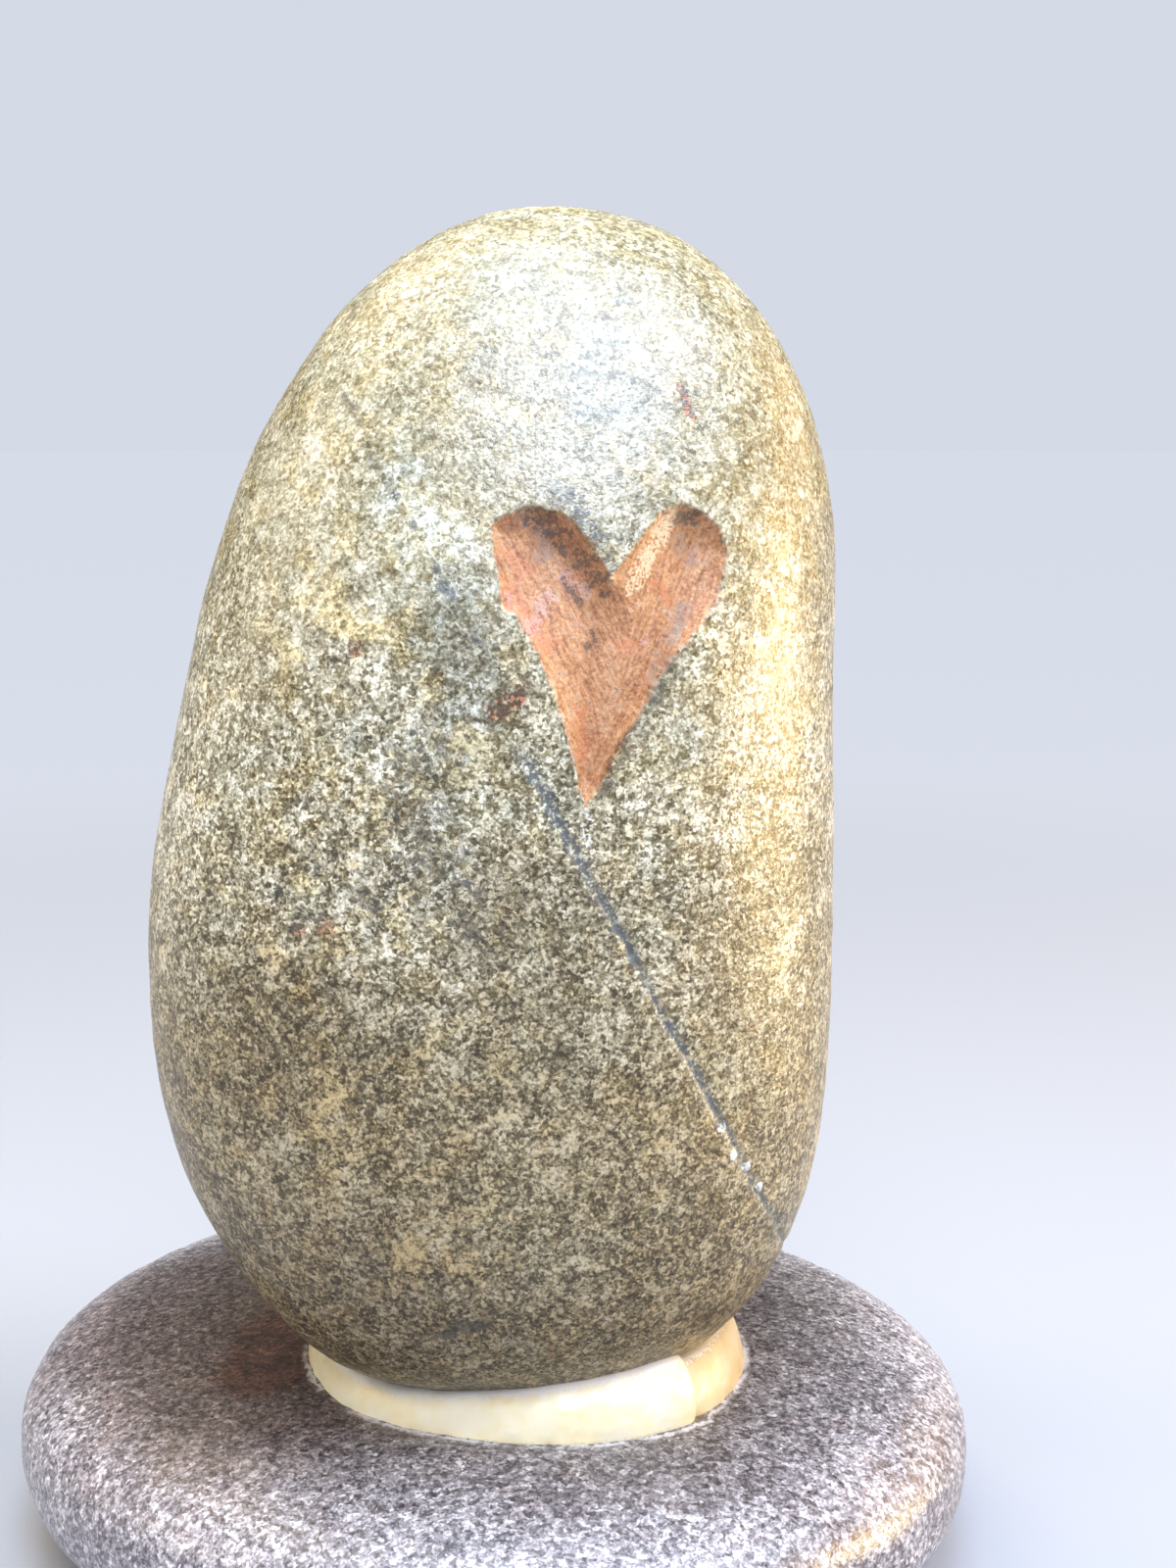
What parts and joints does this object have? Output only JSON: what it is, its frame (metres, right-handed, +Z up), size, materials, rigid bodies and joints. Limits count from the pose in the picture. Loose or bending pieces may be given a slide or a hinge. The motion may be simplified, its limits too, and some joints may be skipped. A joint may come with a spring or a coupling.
{
  "type": "engraved river rock on a base pebble",
  "caption": "River rock with a carved and painted heart, standing on end on a flat base pebble and held by a ring of cured putty.",
  "frame": {"origin": "middle of the underside, on the surface that it stands on", "axes": "+Z up through the standing rock, +X to the right and the heart facing -Y"},
  "size_m": [0.107, 0.1062, 0.1463],
  "materials": {
    "olive_river_stone": "water-worn olive-grey sandstone, satin, with a vein and rust specks; the carved heart is painted a worn copper red",
    "cream_putty": "cured epoxy putty, cream, waxy",
    "mauve_pebble": "water-worn mauve-grey stone, fine-grained, satin"
  },
  "bodies": {
    "root": {"engraved_rock": "olive_river_stone", "putty_ring": "cream_putty", "base_stone": "mauve_pebble"}
  },
  "joints": []
}
